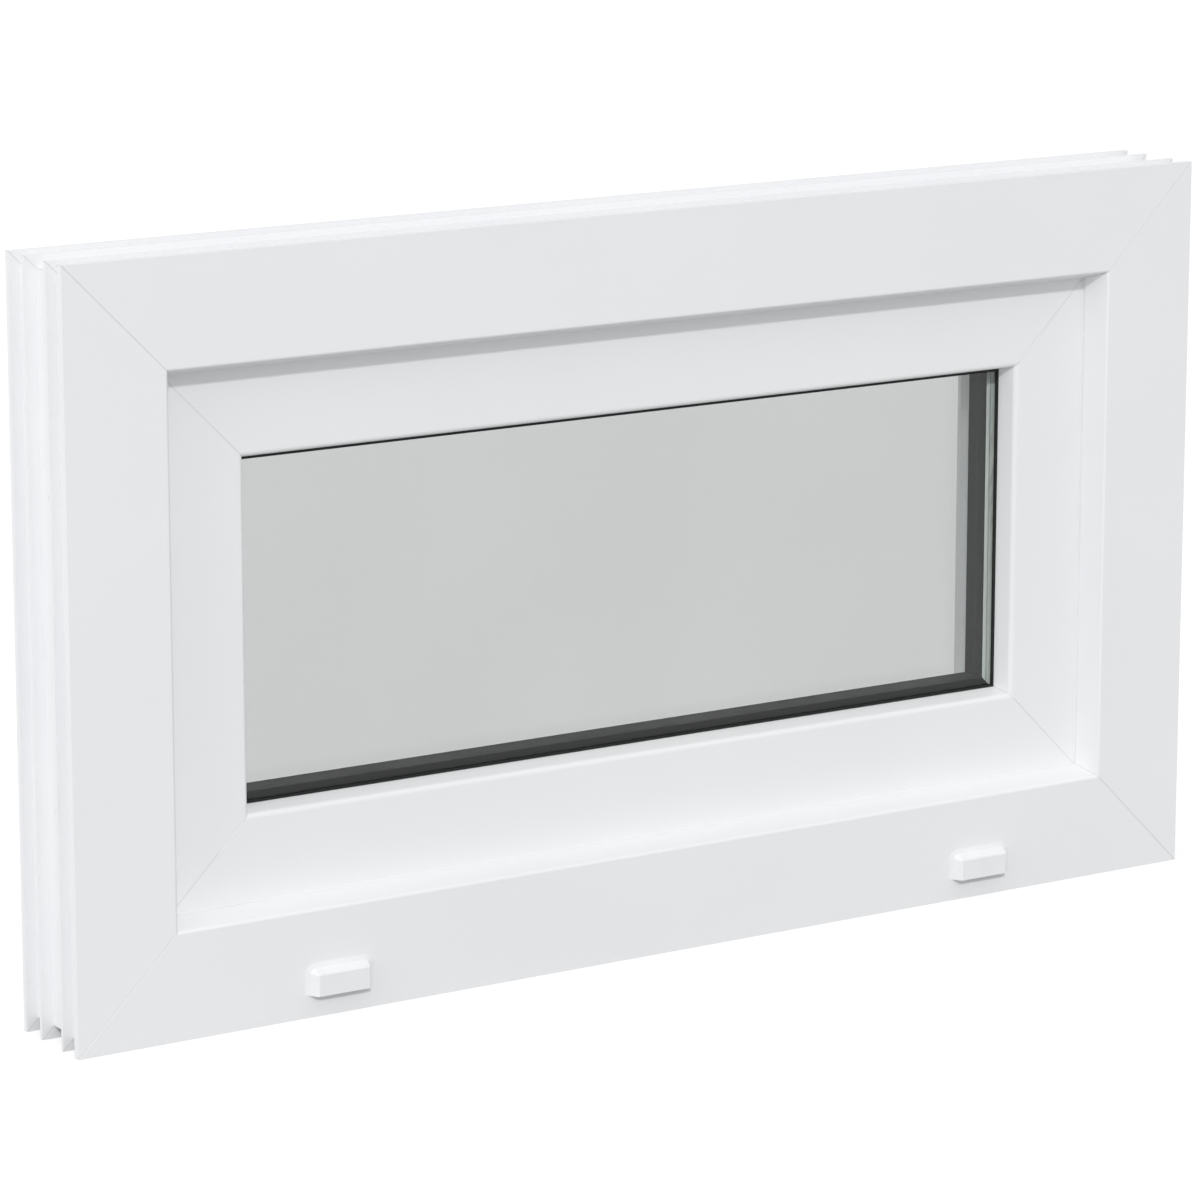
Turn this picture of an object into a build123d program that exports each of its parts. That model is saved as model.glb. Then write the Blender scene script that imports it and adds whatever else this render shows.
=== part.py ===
from build123d import *
import os

# Basement window: a bottom-hung sash of white plastic profiles in a fixed frame, double glazed.
# X runs along the width, Y from the outside face towards the room, Z up from the bottom edge.
# Sections are drawn as (depth, inset): depth behind the frame's outside face, and inset from
# the frame's outer edge towards the opening. Every rail is one section cut to a mitre.

# Overall size
window_w = 700.0
window_h = 400.0

# Frame profile
frame_depth = 60.0
frame_face = 57.0
frame_front = 14.5
rebate_floor = 41.0
reveal_lean = 4.5
frame_edge_round = 1.8
outer_edge_round = 0.6

# Lips and grooves round the frame's outer edge, from the outside face to the room
front_leg = 4.5
front_groove = 12.2
front_groove_deep = 6.0
front_lip = 2.0
anchor_recess = 21.1
anchor_recess_deep = 6.7
rear_lip = 2.4
rear_groove_deep = 6.5
back_leg = 3.3

# Sash profile
front_seal_gap = 2.0
stop_overlap = 8.5
sash_width = 56.9
sash_lean = 2.6
sash_edge_round = 3.0
glass_rebate = 18.0
glass_stop = 12.0
room_seal_gap = 3.0
flange_thick = 13.5
flange_overlap = 8.0
flange_round = 2.5

# Insulating glass and its gaskets; the packers push the glass up and to the left
pane_thick = 4.0
cavity = 16.0
glass_clearance = 5.1
packer_push = 2.0
gasket_thick = 1.5
gasket_hidden = 8.8
gasket_shown = 1.4
spacer_height = 7.5
sealant_height = 8.5

# Glazing bead with its snap foot
bead_slope_in = 5.8
bead_slope_deep = 10.5
bead_round = 1.2
bead_foot_thick = 3.0
bead_foot_high = 3.5
bead_foot_back = 6.0
foot_gap = 0.2

# Walls of the hollow profiles, and the depth of the web behind their main chambers
outer_wall = 2.8
inner_web = 1.4
bead_wall = 1.5
frame_web_at = 44.0
sash_web_at = 58.0

# Seals between frame and sash
seal_width = 5.5
room_seal_back = 1.0

# Fixing holes through the jambs
fixing_hole_d = 6.5
fixing_pitch = 160.0

# Drain caps on the sill's outside face, and the slots that run out into them
cap_left_x = -199.5
cap_right_x = 210.0
cap_wide = 36.2
cap_high = 14.5
cap_bottom = 12.0
cap_out = 5.3
cap_taper = 26.0
cap_corner = 3.5
cap_edge_bevel = 0.7
cap_wall = 1.4
cap_flare = 2.4
cap_flare_thick = 0.9
cap_flare_taper = 76.0
drain_slot_wide = 30.0
drain_slot_high = 5.0
drain_slot_up = 0.6

# Corner mitres and their weld seams
seam_half = 0.3
seam_deep = 0.2
sash_seam_long = 14.0
mitre_spare = 5.0

# Handle on the head rail of the sash
rosette_long = 65.0
rosette_high = 30.0
rosette_thick = 11.5
rosette_bevel = 2.0
neck_d = 18.0
lever_reach = 108.0
lever_out = 46.0
lever_high = 19.0
lever_thick = 12.0
lever_corner = 5.5
lever_tip_bevel = 2.5
lever_bend = 17.0

# Bottom hinges
hinge_from_side = 110.0
hinge_long = 64.0
knuckle_r = 7.0
knuckle_mid = 30.0
knuckle_gap = 0.5
hinge_plate = 2.5
hinge_foot_inset = 5.0
sash_leaf_high = 26.0
hinge_clear = 3.0
barrel_off_sash = 1.5
hinge_pin_r = 3.4
pin_gap = 0.1
pin_head_r = 5.0
pin_head_long = 2.0

# Places that follow from the sizes above
sash_front = frame_front + front_seal_gap
sash_room = frame_depth + room_seal_gap + flange_thick
sash_edge = frame_face + reveal_lean - stop_overlap
sash_sight = sash_edge + sash_width
glass_floor = sash_sight - glass_rebate
flange_edge = rebate_floor - flange_overlap
flange_front = frame_depth + room_seal_gap
outer_gasket_front = sash_front + glass_stop
outer_pane_front = outer_gasket_front + gasket_thick
cavity_front = outer_pane_front + pane_thick
inner_pane_front = cavity_front + cavity
inner_gasket_front = inner_pane_front + pane_thick
bead_front = inner_gasket_front + gasket_thick
glass_edge = glass_floor + glass_clearance
glass_place = Pos(-packer_push, 0, packer_push)
spacer_edge = glass_edge + sealant_height
gasket_top = sash_sight + gasket_shown
foot_back = sash_room - bead_foot_back
foot_front = foot_back - bead_foot_thick
snap_groove_floor = glass_floor - bead_foot_high - foot_gap
front_lip_start = front_leg + front_groove
recess_start = front_lip_start + front_lip
recess_end = recess_start + anchor_recess
rear_lip_end = recess_end + rear_lip
back_leg_start = frame_depth - back_leg
frame_chamber_back = frame_front - outer_wall
frame_chamber_top = rebate_floor - outer_wall
sash_corner = sash_sight - sash_lean
sash_chamber_back = outer_gasket_front - outer_wall
front_chamber_floor = front_groove_deep + outer_wall
hinge_x = window_w / 2 - hinge_from_side
barrel_depth = sash_room + barrel_off_sash + knuckle_r
barrel_inset = flange_edge - hinge_clear
handle_inset = (flange_edge + glass_floor) / 2

# Each side of the window: its length, how far it lies from the centre, and its turn about Y
SIDES = {
    "bottom": (window_w, window_h / 2, 0),
    "left": (window_h, window_w / 2, 90),
    "top": (window_w, window_h / 2, 180),
    "right": (window_h, window_w / 2, -90),
}
through = 4 * frame_depth


def section(points, rounds=()):
    """Closed outline through (depth, inset) points, with some corners rounded."""
    face = make_face(Polyline(*points, close=True))
    for corner, radius in rounds:
        vertex = face.vertices().sort_by_distance(Vector(*corner, 0))[0]
        face = fillet(vertex, radius)
    return face


def block(depth_from, depth_to, inset_from, inset_to):
    """Plain rectangular section."""
    return section([
        (depth_from, inset_from), (depth_to, inset_from),
        (depth_to, inset_to), (depth_from, inset_to),
    ])


def seam(length, half_span, end, depth, inset_from, inset_to):
    """Fine V along one mitre of a rail, on the face at this depth."""
    across = 2 ** 0.5
    corner = Plane(
        origin=(end * (length / 2 - inset_from), depth, inset_from - half_span),
        x_dir=(0, 1, 0), z_dir=(-end, 0, 1),
    )
    groove = make_face(Polyline(
        (-seam_deep, -2 * seam_half), (-seam_deep, 2 * seam_half), (seam_deep, 0), close=True,
    ))
    return extrude(corner * groove, amount=(inset_to - inset_from) * across)


def rail(face, side, seams=()):
    """One mitred rail of the given section, at its place on the given side."""
    length, half_span, turn = SIDES[side]
    reach = spacer_edge + spacer_height + mitre_spare
    bar = Pos(0, 0, -half_span) * extrude(Plane.YZ * face, amount=length / 2, both=True)
    corners = Polyline(
        (-length / 2, -half_span), (length / 2, -half_span),
        (length / 2 - reach, reach - half_span), (reach - length / 2, reach - half_span),
        close=True,
    )
    bar = bar & extrude(Plane.XZ * make_face(corners), amount=through, both=True)
    for seam_line in seams:
        for end in (-1, 1):
            bar = bar - seam(length, half_span, end, *seam_line)
    return Pos(0, 0, window_h / 2) * Rot(0, turn, 0) * bar


def ring(face):
    """Four mitred strips of one section, joined at the corners."""
    strips = [rail(face, side) for side in SIDES]
    whole = strips[0] + strips[1:]
    return whole.clean()


def frame_chambers():
    """Hollows of the frame: two behind the outside face, the main one and the rear one."""
    nose = section([
        (0, frame_chamber_top + inner_web - outer_wall), (0, frame_face),
        (frame_front, frame_face + reveal_lean),
        (frame_front, frame_chamber_top + inner_web - outer_wall),
    ])
    return [
        offset(nose, amount=-outer_wall),
        block(outer_wall, frame_chamber_back, front_chamber_floor, frame_chamber_top),
        block(frame_chamber_back + inner_web, frame_web_at,
              anchor_recess_deep + outer_wall, frame_chamber_top),
        block(frame_web_at + inner_web, frame_depth - outer_wall,
              rear_groove_deep + outer_wall, frame_chamber_top),
    ]


def frame_section():
    """Front wall with a leaning reveal, rebate floor, and lips and grooves round the edge."""
    outline = section([
        (0, 0), (0, frame_face), (frame_front, frame_face + reveal_lean),
        (frame_front, rebate_floor), (frame_depth, rebate_floor), (frame_depth, 0),
        (back_leg_start, 0), (back_leg_start, rear_groove_deep),
        (rear_lip_end, rear_groove_deep), (rear_lip_end, 0),
        (recess_end, 0), (recess_end, anchor_recess_deep),
        (recess_start, anchor_recess_deep), (recess_start, 0),
        (front_lip_start, 0), (front_lip_start, front_groove_deep),
        (front_leg, front_groove_deep), (front_leg, 0),
    ], [
        ((0, frame_face), frame_edge_round), ((frame_depth, rebate_floor), frame_edge_round),
    ])
    return outline - frame_chambers()


def sash_chambers():
    """Hollows of the sash: in the upstand before the glass, the main one, the rear and the flange."""
    upstand = section([
        (sash_front, sash_edge), (sash_front, sash_corner),
        (outer_gasket_front, sash_sight), (outer_gasket_front, sash_edge),
    ])
    return [
        offset(upstand, amount=-outer_wall),
        block(sash_chamber_back + inner_web, sash_web_at,
              sash_edge + outer_wall, glass_floor - outer_wall),
        block(sash_web_at + inner_web, sash_room - outer_wall,
              sash_edge + outer_wall, snap_groove_floor - outer_wall),
        block(flange_front + outer_wall, sash_room - outer_wall,
              flange_edge + outer_wall, sash_edge + outer_wall - inner_web),
    ]


def sash_section():
    """Outside face, glass rebate with the bead's groove, and the flange that laps the frame."""
    outline = section([
        (sash_front, sash_edge), (sash_front, sash_corner), (outer_gasket_front, sash_sight),
        (outer_gasket_front, glass_floor),
        (foot_front - foot_gap, glass_floor), (foot_front - foot_gap, snap_groove_floor),
        (foot_back + foot_gap, snap_groove_floor), (foot_back + foot_gap, glass_floor),
        (sash_room, glass_floor),
        (sash_room, flange_edge), (flange_front, flange_edge), (flange_front, sash_edge),
    ], [
        ((sash_front, sash_corner), sash_edge_round), ((sash_front, sash_edge), outer_edge_round),
        ((sash_room, flange_edge), flange_round), ((flange_front, flange_edge), outer_edge_round),
    ])
    return outline - sash_chambers()


def bead_section():
    """Hollow sloping bead that holds the glass from the room side, with its foot in the sash."""
    body = [
        (bead_front, glass_floor), (bead_front, sash_sight),
        (sash_room - bead_slope_deep, sash_sight), (sash_room, sash_sight - bead_slope_in),
        (sash_room, glass_floor),
    ]
    outline = section(body, [
        ((sash_room - bead_slope_deep, sash_sight), bead_round),
        ((sash_room, sash_sight - bead_slope_in), bead_round),
    ])
    foot = block(foot_front, foot_back, glass_floor - bead_foot_high, glass_floor)
    return outline + foot - offset(section(body), amount=-bead_wall)


def gasket_section(depth_from):
    """Wedge gasket between a pane and the profile that holds it."""
    depth_to = depth_from + gasket_thick
    return block(depth_from, depth_to, sash_sight - gasket_hidden, gasket_top)


def pane(depth_from):
    """One sheet of glass."""
    wide = window_w - 2 * glass_edge
    high = window_h - 2 * glass_edge
    sheet = Pos(0, depth_from + pane_thick / 2, window_h / 2) * Box(wide, pane_thick, high)
    return glass_place * sheet


def fixing_hole(side, up):
    """Bore through a jamb, so far up from the middle of the window."""
    depth = (recess_start + recess_end) / 2
    bore = Rot(0, 90, 0) * Cylinder(fixing_hole_d / 2, 2 * frame_face)
    return Pos(side * window_w / 2, depth, window_h / 2 + up) * bore


def drain_slot(cap_x):
    """Slot from the sill's front chamber out into a drain cap."""
    return Pos(cap_x, 0, cap_bottom + drain_slot_up) * Box(
        drain_slot_wide, 2 * outer_wall, drain_slot_high,
        align=(Align.CENTER, Align.CENTER, Align.MIN))


def cap_body(cap_x, inward, out, taper):
    """Tapered body with rounded upper corners, cut off flat at the cap's lower edge."""
    outline = RectangleRounded(
        cap_wide - 2 * inward, 2 * (cap_high - inward), cap_corner - inward)
    whole = extrude(Plane.XZ * Pos(cap_x, cap_bottom) * outline, amount=out, taper=taper)
    return split(whole, Plane.XY.offset(cap_bottom))


def drain_cap(cap_x):
    """Hood with tapered top and sides on a thin flare, open below over its slot."""
    hood = cap_body(cap_x, 0, cap_out, cap_taper)
    front = hood.faces().sort_by(Axis.Y)[0]
    hood = chamfer(front.edges().sort_by(Axis.Z)[1:], cap_edge_bevel)
    flare = cap_body(cap_x, -cap_flare, cap_flare_thick, cap_flare_taper)
    return hood + flare - cap_body(cap_x, cap_wall, cap_out - cap_wall, cap_taper)


def handle_rosette():
    """Oval base plate screwed to the sash."""
    plate = extrude(Plane.XZ * SlotOverall(rosette_long, rosette_high), amount=-rosette_thick)
    plate = chamfer(plate.faces().sort_by(Axis.Y)[-1].edges(), rosette_bevel)
    return Pos(0, sash_room, window_h - handle_inset) * plate


def handle_lever():
    """Neck and lever in one bent bar, lying level while the window is shut."""
    path = FilletPolyline(
        (0, rosette_thick, 0), (0, lever_out, 0), (lever_reach, lever_out, 0),
        radius=lever_bend,
    )
    grip = Plane(origin=path @ 0, x_dir=(1, 0, 0), z_dir=path % 0)
    bar = sweep(grip * RectangleRounded(lever_thick, lever_high, lever_corner), path=path)
    tip = bar.faces().sort_by(Axis.X)[-1]
    bar = chamfer(tip.edges(), lever_tip_bevel)
    neck = Pos(0, rosette_thick, 0) * Rot(-90, 0, 0) * Cylinder(
        neck_d / 2, lever_bend, align=(Align.CENTER, Align.CENTER, Align.MIN))
    return Pos(0, sash_room, window_h - handle_inset) * (bar + neck)


def along_x(face, start, end):
    """Solid with this section between two places along the width."""
    return Pos(start, 0, 0) * extrude(Plane.YZ * face, amount=end - start)


def knuckle(arm):
    """Section of a hinge knuckle with the arm that joins it to its leaf."""
    eye = Pos(barrel_depth, barrel_inset) * Circle(knuckle_r)
    bore = Pos(barrel_depth, barrel_inset) * Circle(hinge_pin_r + pin_gap)
    return arm + eye - bore


def hinge_frame_leaf(x):
    """Leaf on the frame's room face, with the two outer knuckles."""
    plate = block(frame_depth, frame_depth + hinge_plate, hinge_foot_inset, barrel_inset)
    arm = block(frame_depth, barrel_depth, barrel_inset - knuckle_r, barrel_inset)
    leaf = along_x(plate, x - hinge_long / 2, x + hinge_long / 2)
    inner = knuckle_mid / 2 + knuckle_gap
    leaf = leaf + along_x(knuckle(arm), x - hinge_long / 2, x - inner)
    return leaf + along_x(knuckle(arm), x + inner, x + hinge_long / 2)


def hinge_sash_leaf(x):
    """Leaf on the sash's room face, with the middle knuckle."""
    thick = barrel_off_sash + hinge_plate
    low = barrel_inset + knuckle_r + hinge_clear
    plate = block(sash_room, sash_room + thick, low, low + sash_leaf_high)
    arm = block(barrel_depth - knuckle_r, sash_room + thick, barrel_inset, low + hinge_clear)
    leaf = along_x(plate, x - hinge_long / 2, x + hinge_long / 2)
    return leaf + along_x(knuckle(arm), x - knuckle_mid / 2, x + knuckle_mid / 2)


def hinge_pin(x):
    """Pin through the three knuckles, with a head at each end."""
    centre = Pos(barrel_depth, barrel_inset)
    half = hinge_long / 2
    pin = along_x(centre * Circle(hinge_pin_r), x - half, x + half)
    pin = pin + along_x(centre * Circle(pin_head_r), x - half - pin_head_long, x - half)
    return pin + along_x(centre * Circle(pin_head_r), x + half, x + half + pin_head_long)


nodes = {}

# Frame rails with their weld seams on the outside face
frame_seams = [(0, 0, frame_face)]
nodes["frame_head"] = rail(frame_section(), "top", frame_seams)
nodes["frame_sill"] = rail(frame_section(), "bottom", frame_seams)
nodes["frame_sill"] -= [drain_slot(cap_left_x), drain_slot(cap_right_x)]
for name, side, sign in (("left", "left", -1), ("right", "right", 1)):
    jamb = rail(frame_section(), side, frame_seams)
    for up in (-fixing_pitch / 2, fixing_pitch / 2):
        jamb = jamb - fixing_hole(sign, up)
    nodes["frame_jamb_" + name] = jamb

# Sash rails and glazing beads
seam_end = sash_corner - sash_edge_round
sash_seams = [(sash_front, seam_end - sash_seam_long, seam_end)]
for name, side in (("top_rail", "top"), ("bottom_rail", "bottom"),
                   ("stile_left", "left"), ("stile_right", "right")):
    nodes["sash_" + name] = rail(sash_section(), side, sash_seams)
for side in SIDES:
    nodes["glazing_bead_" + side] = rail(bead_section(), side)

# Insulating glass
nodes["outer_pane"] = pane(outer_pane_front)
nodes["inner_pane"] = pane(inner_pane_front)
nodes["spacer_frame"] = glass_place * ring(
    block(cavity_front, inner_pane_front, spacer_edge, spacer_edge + spacer_height))
nodes["edge_sealant"] = glass_place * ring(
    block(cavity_front, inner_pane_front, glass_edge, spacer_edge))

# Gaskets and seals
nodes["outer_glazing_gasket"] = ring(gasket_section(outer_gasket_front))
nodes["inner_glazing_gasket"] = ring(gasket_section(inner_gasket_front))
seal_top = frame_face + reveal_lean
nodes["frame_seal"] = ring(block(frame_front, sash_front, seal_top - seal_width, seal_top))
seal_top = rebate_floor - room_seal_back
nodes["sash_seal"] = ring(block(frame_depth, flange_front, seal_top - seal_width, seal_top))

# Drain caps, handle and hinges
nodes["drain_cap_left"] = drain_cap(cap_left_x)
nodes["drain_cap_right"] = drain_cap(cap_right_x)
nodes["handle_rosette"] = handle_rosette()
nodes["handle_lever"] = handle_lever()
for name, x in (("left", -hinge_x), ("right", hinge_x)):
    nodes["hinge_" + name + "_frame_leaf"] = hinge_frame_leaf(x)
    nodes["hinge_" + name + "_sash_leaf"] = hinge_sash_leaf(x)
    nodes["hinge_" + name + "_pin"] = hinge_pin(x)

os.makedirs("parts", exist_ok=True)
for node, shape in nodes.items():
    export_step(shape, "parts/" + node + ".step")
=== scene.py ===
import math

import bpy
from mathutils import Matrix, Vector


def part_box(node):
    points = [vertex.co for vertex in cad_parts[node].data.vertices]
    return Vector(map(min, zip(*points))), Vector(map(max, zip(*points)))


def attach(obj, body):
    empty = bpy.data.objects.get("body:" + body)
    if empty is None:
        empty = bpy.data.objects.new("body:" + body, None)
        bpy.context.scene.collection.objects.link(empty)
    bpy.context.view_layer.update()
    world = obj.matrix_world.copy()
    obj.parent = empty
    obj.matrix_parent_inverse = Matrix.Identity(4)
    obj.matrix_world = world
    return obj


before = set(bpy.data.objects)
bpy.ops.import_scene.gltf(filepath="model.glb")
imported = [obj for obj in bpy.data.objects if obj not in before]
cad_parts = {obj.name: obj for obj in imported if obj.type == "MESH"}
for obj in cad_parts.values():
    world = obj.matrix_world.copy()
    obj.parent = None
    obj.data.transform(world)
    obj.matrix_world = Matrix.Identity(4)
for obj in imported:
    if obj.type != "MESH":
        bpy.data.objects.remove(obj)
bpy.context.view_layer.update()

MM = 0.001

# Camera, fitted to the photo's corners of the frame and sash
camera_aim = Vector((-0.0404, 0.0, 0.1981))
camera_yaw = math.radians(32.92)
camera_pitch = math.radians(12.39)
camera_distance = 2.71
camera_lens = 155.7
camera_film = 36.0
camera_sees_to = 200.0

# Light: a sun that casts the head's edge on the sash, and soft light all round and from the left
sun_azimuth = math.radians(28.0)
sun_elevation = math.radians(32.2)
sun_distance = 3.0
sun_strength = 1.13
sun_angle = math.radians(3.5)
lamp_aim = Vector((0.0, 0.03, 0.2))
side_place = Vector((-2.4, -0.2, 0.8))
side_size = 1.8
side_power = 13.0
ambient = 0.98
floor_size = 60.0
floor_glow = 0.64

# Places in the CAD that finishes follow: the mitres, the panes' cavity and the spacer's inner edge
window_half_wide = 350.0 * MM
window_half_high = 200.0 * MM
weld_half_wide = 0.32 * MM
cavity_front = 34.0 * MM
cavity_back = 50.0 * MM
cavity_middle = (cavity_front + cavity_back) / 2
spacer_middle = (-2.0 * MM, cavity_middle, 202.0 * MM)
spacer_half = (237.0 * MM, cavity_back - cavity_middle, 87.0 * MM)
spacer_line_half_wide = 0.5 * MM
seal_line_past_edge = 2.55 * MM
seal_line_half_wide = 0.35 * MM
face_allowance = 0.1 * MM

# Screws: two cross-headed ones in each hinge leaf, at the middle of its bare plate
screw_spacing = 40.0 * MM
screw_head_radius = 3.7 * MM
screw_head_high = 2.0 * MM
screw_head_sides = 32
screw_top_share = 0.66
screw_cross_wide = 1.0 * MM
screw_cross_deep = 1.2 * MM
screw_cross_turns = (math.radians(45), math.radians(135))
screw_sunk = 0.3 * MM
frame_leaf_plate = 62.5 * MM
frame_leaf_screws_up = 14.0 * MM
sash_leaf_plate = 80.5 * MM
sash_leaf_screws_up = 54.0 * MM

# Span that holds nearly all of a noise's values
noise_low = 0.3
noise_high = 0.7

# Axes that an extruded bar runs along
along_x = 0
along_z = 2

# A Mix node's colour sockets, which share their names with its other ones
mix_first = 6
mix_second = 7
mix_result = 2


def linear(channel):
    """One sRGB channel, 0 to 255, as linear light."""
    share = channel / 255
    return share / 12.92 if share <= 0.04045 else ((share + 0.055) / 1.055) ** 2.4


def colour(code):
    """sRGB hex as a linear colour with full alpha."""
    return tuple(linear(int(code[i:i + 2], 16)) for i in (0, 2, 4)) + (1.0,)


def add(tree, kind, inputs=None, **settings):
    """Adds a node with its settings, and fills or links its inputs.

    A node given as an input is linked by its first output.
    """
    made = tree.nodes.new(kind)
    for name, value in settings.items():
        setattr(made, name, value)
    for key, value in (inputs or {}).items():
        if isinstance(value, bpy.types.Node):
            value = value.outputs[0]
        if isinstance(value, bpy.types.NodeSocket):
            tree.links.new(value, made.inputs[key])
        else:
            made.inputs[key].default_value = value
    return made


def new_material(name):
    """Material with an empty tree, and that tree."""
    made = bpy.data.materials.new(name)
    made.use_nodes = True
    made.node_tree.nodes.clear()
    return made, made.node_tree


def object_noise(tree, cell, detail, stretch=(1.0, 1.0, 1.0)):
    """Noise on Object coordinates, with cells of a real size that each axis may stretch."""
    place = add(tree, "ShaderNodeTexCoord").outputs["Object"]
    scaled = add(tree, "ShaderNodeMapping", {"Vector": place, "Scale": stretch})
    return add(tree, "ShaderNodeTexNoise", {
        "Vector": scaled, "Scale": 1 / cell, "Detail": detail})


def clouds(tree, cell, detail):
    """Soft patches from 0 to 1, for slow changes of tint and gloss."""
    return add(tree, "ShaderNodeMapRange", {
        "Value": object_noise(tree, cell, detail),
        "From Min": noise_low, "From Max": noise_high})


def from_middle(tree, middle):
    """How far a point lies from a middle along X, Y and Z, in the window's own coordinates."""
    place = add(tree, "ShaderNodeTexCoord").outputs["Object"]
    off = add(tree, "ShaderNodeVectorMath", {0: place, 1: middle}, operation="SUBTRACT")
    return add(tree, "ShaderNodeVectorMath", {0: off}, operation="ABSOLUTE")


def mitre_shade_mask(tree):
    """1 in the groove of a mitre, which runs at 45 degrees from each of the window's corners.

    Along that line the distance across, less the distance up, stays the same.
    """
    axes = add(tree, "ShaderNodeSeparateXYZ", {
        0: from_middle(tree, (0.0, 0.0, window_half_high))}).outputs
    skew = add(tree, "ShaderNodeMath", {0: axes[0], 1: axes[2]}, operation="SUBTRACT")
    return add(tree, "ShaderNodeMath", {
        0: skew, 1: window_half_wide - window_half_high, 2: weld_half_wide * math.sqrt(2)},
        operation="COMPARE")


def extruded_upvc(name, along):
    """Hard white PVC, extruded and welded: satin, with faint die lines along the bar.

    Along each mitre's groove the colour is a touch greyer, as painted shade that
    damps the catch light on the groove's walls. The grain is drawn coarser than the
    real one, so that it shows close up.
    """
    made, tree = new_material(name)
    stretch = [1.0, 1.0, 1.0]
    stretch[along] = 0.004
    lines = object_noise(tree, 0.9 * MM, 1.0, stretch)
    grain = object_noise(tree, 0.35 * MM, 2.0)
    cloud = clouds(tree, 111.1 * MM, 3.0)
    tint = add(tree, "ShaderNodeMix", {
        "Factor": cloud, mix_first: colour("EEEFF1"), mix_second: colour("F0F1F2")},
        data_type="RGBA").outputs[mix_result]
    # Painted shade: the mitre grooves are painted greyer to damp their catch light
    tint = add(tree, "ShaderNodeMix", {
        "Factor": mitre_shade_mask(tree), mix_first: tint, mix_second: colour("E0E1E3")},
        data_type="RGBA").outputs[mix_result]
    gloss = add(tree, "ShaderNodeMapRange", {"Value": cloud, "To Min": 0.34, "To Max": 0.42})
    relief = add(tree, "ShaderNodeBump", {
        "Strength": 0.12, "Distance": 0.03 * MM, "Height": lines})
    relief = add(tree, "ShaderNodeBump", {
        "Strength": 0.06, "Distance": 0.02 * MM, "Height": grain, "Normal": relief})
    shader = add(tree, "ShaderNodeBsdfPrincipled", {
        "Base Color": tint, "Roughness": gloss, "IOR": 1.53, "Specular IOR Level": 0.4,
        "Normal": relief})
    add(tree, "ShaderNodeOutputMaterial", {"Surface": shader})
    return made


def moulded_cap_plastic():
    """White injection-moulded cap: a touch cooler than the extrusion, with a fine even grain.

    The grain is drawn coarser than the real one, so that it shows close up.
    """
    made, tree = new_material("moulded_white_asa")
    grain = object_noise(tree, 0.4 * MM, 3.0)
    cloud = clouds(tree, 16.67 * MM, 2.0)
    tint = add(tree, "ShaderNodeMix", {
        "Factor": cloud, mix_first: colour("EDEEF0"), mix_second: colour("F1F2F3")},
        data_type="RGBA").outputs[mix_result]
    gloss = add(tree, "ShaderNodeMapRange", {"Value": cloud, "To Min": 0.38, "To Max": 0.46})
    relief = add(tree, "ShaderNodeBump", {
        "Strength": 0.2, "Distance": 0.03 * MM, "Height": grain})
    shader = add(tree, "ShaderNodeBsdfPrincipled", {
        "Base Color": tint, "Roughness": gloss, "IOR": 1.5, "Normal": relief})
    add(tree, "ShaderNodeOutputMaterial", {"Surface": shader})
    return made


def powder_coat():
    """White powder coat on cast metal: glossy, with the coat's slight orange peel."""
    made, tree = new_material("white_powder_coat")
    peel = object_noise(tree, 1.6 * MM, 2.0)
    tint = add(tree, "ShaderNodeMix", {
        "Factor": clouds(tree, 25.0 * MM, 2.0),
        mix_first: colour("E4E5E5"), mix_second: colour("EAEAEA")},
        data_type="RGBA").outputs[mix_result]
    gloss = add(tree, "ShaderNodeMapRange", {
        "Value": peel, "From Min": noise_low, "From Max": noise_high,
        "To Min": 0.26, "To Max": 0.34})
    relief = add(tree, "ShaderNodeBump", {
        "Strength": 0.3, "Distance": 0.05 * MM, "Height": peel})
    shader = add(tree, "ShaderNodeBsdfPrincipled", {
        "Base Color": tint, "Roughness": gloss, "IOR": 1.5, "Normal": relief})
    add(tree, "ShaderNodeOutputMaterial", {"Surface": shader})
    return made


def rubber(name, dark, light, rough_low, rough_high):
    """Extruded rubber: dull and slightly chalky, with a matt grain.

    The grain is drawn coarser than the real one, so that it shows close up.
    """
    made, tree = new_material(name)
    grain = object_noise(tree, 0.5 * MM, 3.0)
    cloud = clouds(tree, 22.22 * MM, 3.0)
    tint = add(tree, "ShaderNodeMix", {
        "Factor": cloud, mix_first: colour(dark), mix_second: colour(light)},
        data_type="RGBA").outputs[mix_result]
    gloss = add(tree, "ShaderNodeMapRange", {
        "Value": cloud, "To Min": rough_low, "To Max": rough_high})
    relief = add(tree, "ShaderNodeBump", {
        "Strength": 0.35, "Distance": 0.05 * MM, "Height": grain})
    shader = add(tree, "ShaderNodeBsdfPrincipled", {
        "Base Color": tint, "Roughness": gloss, "IOR": 1.52, "Specular IOR Level": 0.3,
        "Normal": relief})
    add(tree, "ShaderNodeOutputMaterial", {"Surface": shader})
    return made


def past_spacer(tree):
    """How far a point lies past the spacer's inner edge, across and up, and past its faces.

    The three come in the order X, Y and Z.
    """
    past = add(tree, "ShaderNodeVectorMath", {
        0: from_middle(tree, spacer_middle), 1: spacer_half}, operation="SUBTRACT")
    return add(tree, "ShaderNodeSeparateXYZ", {0: past}).outputs


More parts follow.
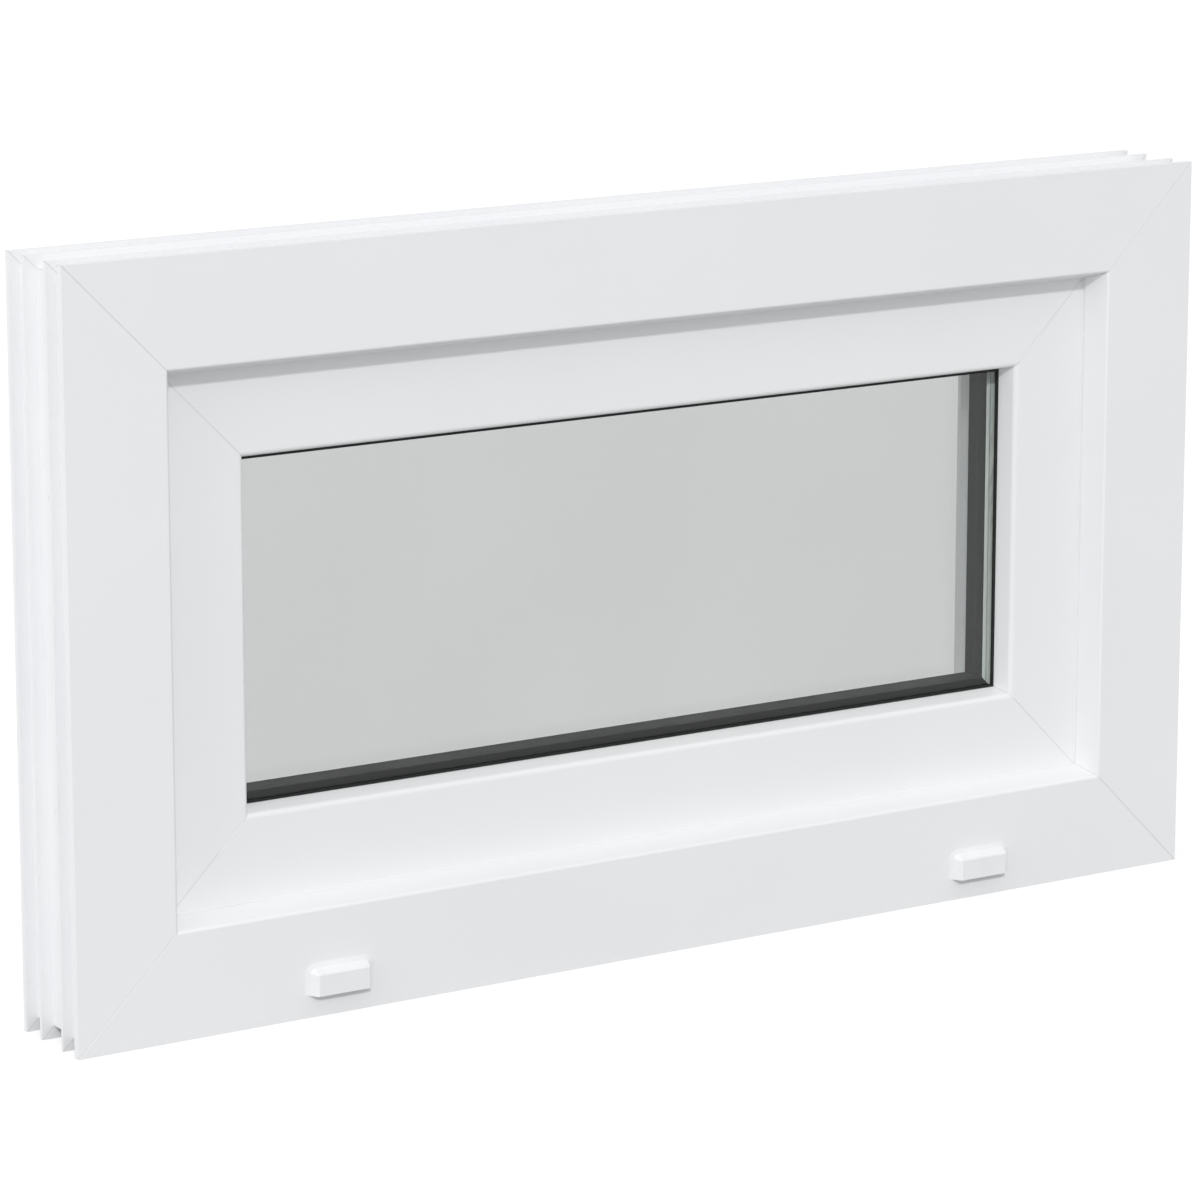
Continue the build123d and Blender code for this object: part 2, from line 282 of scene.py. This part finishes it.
def seal_with_painted_reflection(tree, past):
    """Edge seal as it shows through the outer pane.

    It is dark on the level bars. On the upright ones it is a pale grey-green strip with a fine
    darker line, which is a painted reflection and not the seal's own colour.
    """
    upright = add(tree, "ShaderNodeMath", {0: past[0], 1: past[2]}, operation="GREATER_THAN")
    line = add(tree, "ShaderNodeMath", {
        0: past[0], 1: seal_line_past_edge, 2: seal_line_half_wide}, operation="COMPARE")
    # Painted reflection: a pale strip with a darker line on the upright bars, plain dark seal on
    # the level ones
    painted_reflection_strip = add(tree, "ShaderNodeMix", {
        "Factor": line, mix_first: colour("DCE3DF"), mix_second: colour("A8B1AE")},
        data_type="RGBA").outputs[mix_result]
    return add(tree, "ShaderNodeMix", {
        "Factor": upright, mix_first: colour("2A2D2B"), mix_second: painted_reflection_strip},
        data_type="RGBA").outputs[mix_result]


def warm_edge_spacer():
    """Dark grey composite spacer bar: matt, with a lighter line along its back's middle, a painted
    highlight.
    """
    made, tree = new_material("warm_edge_spacer")
    place = add(tree, "ShaderNodeTexCoord").outputs["Object"]
    depth = add(tree, "ShaderNodeSeparateXYZ", {0: place}).outputs[1]
    cloud = clouds(tree, 33.33 * MM, 3.0)
    ribs = object_noise(tree, 1.2 * MM, 1.0)
    back = add(tree, "ShaderNodeMix", {
        "Factor": cloud, mix_first: colour("161817"), mix_second: colour("1C1F1E")},
        data_type="RGBA").outputs[mix_result]
    # Painted highlight: a lighter line along the middle of the spacer's back
    line = add(tree, "ShaderNodeMath", {
        0: depth, 1: cavity_middle, 2: spacer_line_half_wide}, operation="COMPARE")
    back = add(tree, "ShaderNodeMix", {
        "Factor": line, mix_first: back, mix_second: colour("363938")},
        data_type="RGBA").outputs[mix_result]
    front = add(tree, "ShaderNodeMath", {
        0: depth, 1: cavity_front + face_allowance}, operation="LESS_THAN")
    tint = add(tree, "ShaderNodeMix", {
        "Factor": front, mix_first: back,
        mix_second: seal_with_painted_reflection(tree, past_spacer(tree))},
        data_type="RGBA").outputs[mix_result]
    gloss = add(tree, "ShaderNodeMapRange", {"Value": cloud, "To Min": 0.55, "To Max": 0.7})
    relief = add(tree, "ShaderNodeBump", {
        "Strength": 0.2, "Distance": 0.05 * MM, "Height": ribs})
    shader = add(tree, "ShaderNodeBsdfPrincipled", {
        "Base Color": tint, "Roughness": gloss, "IOR": 1.5, "Specular IOR Level": 0.25,
        "Normal": relief})
    add(tree, "ShaderNodeOutputMaterial", {"Surface": shader})
    return made


def float_glass():
    """Float glass with a neutral grey coat, its tint faintly uneven. Light passes it unbent.

    Where the edge seal is stuck to a pane's cavity side, the pane shows the seal, with its
    painted reflection on the upright bars.
    """
    made, tree = new_material("float_glass")
    tint = add(tree, "ShaderNodeMix", {
        "Factor": clouds(tree, 142.9 * MM, 1.0),
        mix_first: colour("E1E2E2"), mix_second: colour("E3E4E4")},
        data_type="RGBA").outputs[mix_result]
    body = add(tree, "ShaderNodeBsdfPrincipled", {
        "Base Color": tint, "Roughness": 0.0, "IOR": 1.42, "Transmission Weight": 1.0})
    past = past_spacer(tree)
    furthest = add(tree, "ShaderNodeMath", {0: past[0], 1: past[2]}, operation="MAXIMUM")
    edge = add(tree, "ShaderNodeMath", {0: furthest, 1: 0.0}, operation="GREATER_THAN")
    cavity_side = add(tree, "ShaderNodeMath", {
        0: past[1], 1: face_allowance}, operation="LESS_THAN")
    sealed = add(tree, "ShaderNodeMath", {0: edge, 1: cavity_side}, operation="MULTIPLY")
    seal = add(tree, "ShaderNodeBsdfPrincipled", {
        "Base Color": seal_with_painted_reflection(tree, past), "Roughness": 0.5})
    pane = add(tree, "ShaderNodeMixShader", {0: sealed, 1: body, 2: seal})
    clear = add(tree, "ShaderNodeBsdfTransparent", {"Color": colour("FAFBFA")})
    rays = add(tree, "ShaderNodeLightPath").outputs
    passing = add(tree, "ShaderNodeMath", {
        0: rays["Is Shadow Ray"], 1: rays["Is Diffuse Ray"]}, operation="MAXIMUM")
    shader = add(tree, "ShaderNodeMixShader", {0: passing, 1: pane, 2: clear})
    add(tree, "ShaderNodeOutputMaterial", {"Surface": shader})
    return made


def zinc_plate():
    """Zinc-plated steel, turned: bright grey with fine turning marks."""
    made, tree = new_material("zinc_plated_steel")
    marks = object_noise(tree, 0.4 * MM, 2.0, (1.0, 0.05, 0.05))
    tint = add(tree, "ShaderNodeMix", {
        "Factor": clouds(tree, 8.333 * MM, 2.0),
        mix_first: colour("B4B6B8"), mix_second: colour("C6C8CA")},
        data_type="RGBA").outputs[mix_result]
    gloss = add(tree, "ShaderNodeMapRange", {
        "Value": marks, "From Min": noise_low, "From Max": noise_high,
        "To Min": 0.25, "To Max": 0.4})
    relief = add(tree, "ShaderNodeBump", {
        "Strength": 0.25, "Distance": 0.02 * MM, "Height": marks})
    shader = add(tree, "ShaderNodeBsdfPrincipled", {
        "Base Color": tint, "Metallic": 1.0, "Roughness": gloss, "Normal": relief})
    add(tree, "ShaderNodeOutputMaterial", {"Surface": shader})
    return made


def finish_nodes(material, names):
    """Gives CAD nodes their material."""
    for name in names:
        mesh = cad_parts[name].data
        mesh.materials.clear()
        mesh.materials.append(material)


def finish_window(zinc):
    """Finishes every CAD node."""
    finish_nodes(extruded_upvc("extruded_upvc_level", along_x), (
        "frame_head", "frame_sill", "sash_top_rail", "sash_bottom_rail",
        "glazing_bead_top", "glazing_bead_bottom"))
    finish_nodes(extruded_upvc("extruded_upvc_upright", along_z), (
        "frame_jamb_left", "frame_jamb_right", "sash_stile_left", "sash_stile_right",
        "glazing_bead_left", "glazing_bead_right"))
    finish_nodes(float_glass(), ("outer_pane", "inner_pane"))
    finish_nodes(warm_edge_spacer(), ("spacer_frame",))
    finish_nodes(rubber("black_epdm_rubber", "151816", "1F2321", 0.6, 0.75), (
        "outer_glazing_gasket", "inner_glazing_gasket", "edge_sealant"))
    finish_nodes(rubber("white_tpe_seal", "E9EAEB", "EEEFF0", 0.5, 0.62), (
        "frame_seal", "sash_seal"))
    finish_nodes(moulded_cap_plastic(), ("drain_cap_left", "drain_cap_right"))
    finish_nodes(powder_coat(), (
        "handle_rosette", "handle_lever", "hinge_left_frame_leaf", "hinge_left_sash_leaf",
        "hinge_right_frame_leaf", "hinge_right_sash_leaf"))
    finish_nodes(zinc, ("hinge_left_pin", "hinge_right_pin"))


def screw_pair_tree():
    """Node tree: at each point of a mesh, a pair of cross-headed screws that face +Y."""
    tree = bpy.data.node_groups.new("screw_pairs", "GeometryNodeTree")
    tree.interface.new_socket("Geometry", in_out="INPUT", socket_type="NodeSocketGeometry")
    for name in ("Spacing", "Head Radius", "Head Height", "Cross Width", "Cross Depth"):
        tree.interface.new_socket(name, in_out="INPUT", socket_type="NodeSocketFloat")
    tree.interface.new_socket("Finish", in_out="INPUT", socket_type="NodeSocketMaterial")
    tree.interface.new_socket("Geometry", in_out="OUTPUT", socket_type="NodeSocketGeometry")
    given = add(tree, "NodeGroupInput").outputs
    top = add(tree, "ShaderNodeMath", {
        0: given["Head Radius"], 1: screw_top_share}, operation="MULTIPLY")
    head = add(tree, "GeometryNodeMeshCone", {
        "Vertices": screw_head_sides, "Radius Top": top, "Radius Bottom": given["Head Radius"],
        "Depth": given["Head Height"]})
    # The cutting bar is centred on the head's top, so only half of it cuts
    deep = add(tree, "ShaderNodeMath", {0: given["Cross Depth"], 1: 2.0}, operation="MULTIPLY")
    bar_size = add(tree, "ShaderNodeCombineXYZ", {0: given["Cross Width"], 1: top, 2: deep})
    bar = add(tree, "GeometryNodeMeshCube", {"Size": bar_size})
    head_top = add(tree, "ShaderNodeCombineXYZ", {2: given["Head Height"]})
    cut = add(tree, "GeometryNodeMeshBoolean", {0: head}, operation="DIFFERENCE")
    for turn in screw_cross_turns:
        placed = add(tree, "GeometryNodeTransform", {
            "Geometry": bar, "Translation": head_top, "Rotation": (0, 0, turn)})
        tree.links.new(placed.outputs[0], cut.inputs[1])
    screw = add(tree, "GeometryNodeTransform", {
        "Geometry": cut, "Rotation": (math.radians(-90), 0, 0)})
    half_back = add(tree, "ShaderNodeMath", {
        0: given["Spacing"], 1: -0.5}, operation="MULTIPLY")
    start = add(tree, "ShaderNodeCombineXYZ", {0: half_back})
    step = add(tree, "ShaderNodeCombineXYZ", {0: given["Spacing"]})
    ends = add(tree, "GeometryNodeMeshLine", {
        "Count": 2, "Start Location": start, "Offset": step})
    pair = add(tree, "GeometryNodeInstanceOnPoints", {"Points": ends, "Instance": screw})
    pairs = add(tree, "GeometryNodeInstanceOnPoints", {
        "Points": given["Geometry"], "Instance": pair})
    solid = add(tree, "GeometryNodeRealizeInstances", {"Geometry": pairs})
    finished = add(tree, "GeometryNodeSetMaterial", {
        "Geometry": solid, "Material": given["Finish"]})
    add(tree, "NodeGroupOutput", {0: finished})
    return tree


def drive_screws(zinc):
    """Screws in the plates of the four hinge leaves, as one mesh."""
    places = []
    for side in ("left", "right"):
        for leaf, depth, up in (("frame", frame_leaf_plate, frame_leaf_screws_up),
                                ("sash", sash_leaf_plate, sash_leaf_screws_up)):
            low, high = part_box(f"hinge_{side}_{leaf}_leaf")
            places.append(((low[0] + high[0]) / 2, depth - screw_sunk, up))
    mesh = bpy.data.meshes.new("hinge_leaf_screws")
    mesh.from_pydata(places, [], [])
    screws = bpy.data.objects.new("hinge_leaf_screws", mesh)
    bpy.context.scene.collection.objects.link(screws)
    tree = screw_pair_tree()
    modifier = screws.modifiers.new("screw_pairs", "NODES")
    modifier.node_group = tree
    sizes = {"Spacing": screw_spacing, "Head Radius": screw_head_radius,
             "Head Height": screw_head_high, "Cross Width": screw_cross_wide,
             "Cross Depth": screw_cross_deep, "Finish": zinc}
    for socket in tree.interface.items_tree:
        if socket.name in sizes:
            modifier[socket.identifier] = sizes[socket.name]
    ready = screws.evaluated_get(bpy.context.evaluated_depsgraph_get())
    screws.data = bpy.data.meshes.new_from_object(ready)
    screws.modifiers.remove(modifier)
    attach(screws, "root")


def lay_floor():
    """Floor that the lens sees white, with the window's light shadow on it.

    Glass and reflections show it plain white.
    """
    bpy.ops.mesh.primitive_plane_add(size=floor_size)
    floor = bpy.context.object
    floor.name = "studio_floor"
    made, tree = new_material("white_floor")
    rays = add(tree, "ShaderNodeLightPath").outputs
    paint = add(tree, "ShaderNodeBsdfDiffuse", {"Color": colour("ACACAC")})
    glow = add(tree, "ShaderNodeMath", {
        0: rays["Is Camera Ray"], 1: floor_glow}, operation="MULTIPLY")
    lit = add(tree, "ShaderNodeEmission", {"Strength": glow})
    seen = add(tree, "ShaderNodeAddShader", {0: paint, 1: lit})
    plain = add(tree, "ShaderNodeEmission", {"Strength": 1.0})
    beyond = add(tree, "ShaderNodeMath", {
        0: rays["Is Glossy Ray"], 1: rays["Is Transmission Ray"]}, operation="MAXIMUM")
    shader = add(tree, "ShaderNodeMixShader", {0: beyond, 1: seen, 2: plain})
    add(tree, "ShaderNodeOutputMaterial", {"Surface": shader})
    floor.data.materials.append(made)


def light_world():
    """White backdrop to the lens and in glass, and even soft light on the object."""
    world = bpy.data.worlds.new("studio")
    bpy.context.scene.world = world
    world.use_nodes = True
    tree = world.node_tree
    tree.nodes.clear()
    rays = add(tree, "ShaderNodeLightPath").outputs
    seen = rays["Is Camera Ray"]
    for kind in ("Is Glossy Ray", "Is Transmission Ray"):
        seen = add(tree, "ShaderNodeMath", {0: seen, 1: rays[kind]}, operation="MAXIMUM")
    level = add(tree, "ShaderNodeMapRange", {"Value": seen, "To Min": ambient, "To Max": 1.0})
    sky = add(tree, "ShaderNodeBackground", {"Strength": level})
    add(tree, "ShaderNodeOutputWorld", {"Surface": sky})


def lamp(name, kind, place, **settings):
    """Lamp at a place, turned towards the window's middle."""
    data = bpy.data.lights.new(name, kind)
    for key, value in settings.items():
        setattr(data, key, value)
    made = bpy.data.objects.new(name, data)
    made.location = place
    made.rotation_euler = (lamp_aim - place).to_track_quat("-Z", "Y").to_euler()
    bpy.context.scene.collection.objects.link(made)


def set_lamps():
    """Sun from the left and above, and a soft box at the left."""
    towards_sun = Vector((
        -math.sin(sun_azimuth) * math.cos(sun_elevation),
        -math.cos(sun_azimuth) * math.cos(sun_elevation),
        math.sin(sun_elevation),
    ))
    lamp("front_sun", "SUN", lamp_aim + sun_distance * towards_sun,
         energy=sun_strength, angle=sun_angle)
    lamp("left_box", "AREA", side_place, energy=side_power, size=side_size)


def set_camera():
    """Camera at the photo's angle, with no lens shift."""
    data = bpy.data.cameras.new("camera")
    data.lens = camera_lens
    data.sensor_width = camera_film
    data.clip_end = camera_sees_to
    made = bpy.data.objects.new("camera", data)
    ahead = Vector((
        math.sin(camera_yaw) * math.cos(camera_pitch),
        math.cos(camera_yaw) * math.cos(camera_pitch),
        -math.sin(camera_pitch),
    ))
    made.location = camera_aim - camera_distance * ahead
    made.rotation_euler = ahead.to_track_quat("-Z", "Y").to_euler()
    bpy.context.scene.collection.objects.link(made)
    bpy.context.scene.camera = made


zinc_plated_steel = zinc_plate()
finish_window(zinc_plated_steel)
drive_screws(zinc_plated_steel)
lay_floor()
light_world()
set_lamps()
set_camera()
bpy.context.scene.view_settings.view_transform = "Standard"
